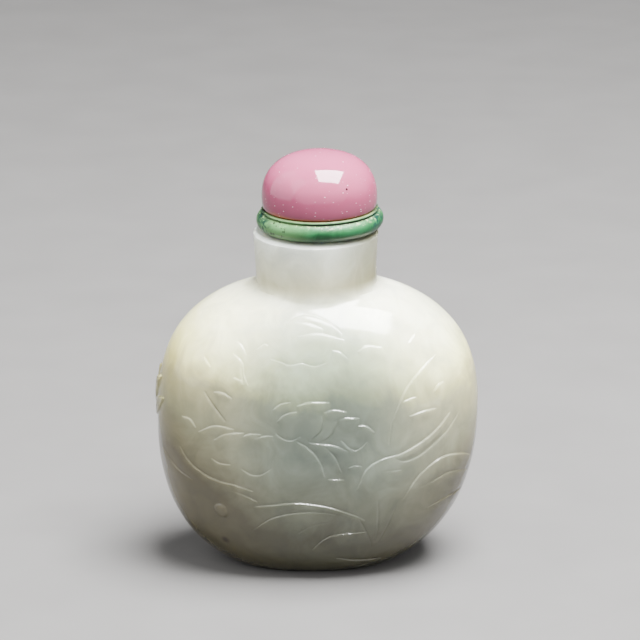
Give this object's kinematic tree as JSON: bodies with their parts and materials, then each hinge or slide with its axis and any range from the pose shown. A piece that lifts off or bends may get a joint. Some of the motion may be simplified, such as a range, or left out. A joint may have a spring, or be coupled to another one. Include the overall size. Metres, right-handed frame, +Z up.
{
  "type": "snuff bottle",
  "caption": "Flattened rounded stone snuff bottle with a plain round neck, low leaf carving and a domed stopper that rests in the mouth.",
  "frame": {"origin": "middle of the flat foot", "axes": "+Z up through the neck, -Y out of the broad carved front, +X to the right of the front"},
  "size_m": [0.0514, 0.034, 0.0666],
  "materials": {
    "bottle_jade": "polished pale jade",
    "cork": "plain cork",
    "collar_green": "waxed, stained green",
    "cap_pink": "polished pink glass"
  },
  "bodies": {
    "root": {"bottle": "bottle_jade", "cork": "cork", "collar": "collar_green", "cap": "cap_pink"}
  },
  "joints": []
}
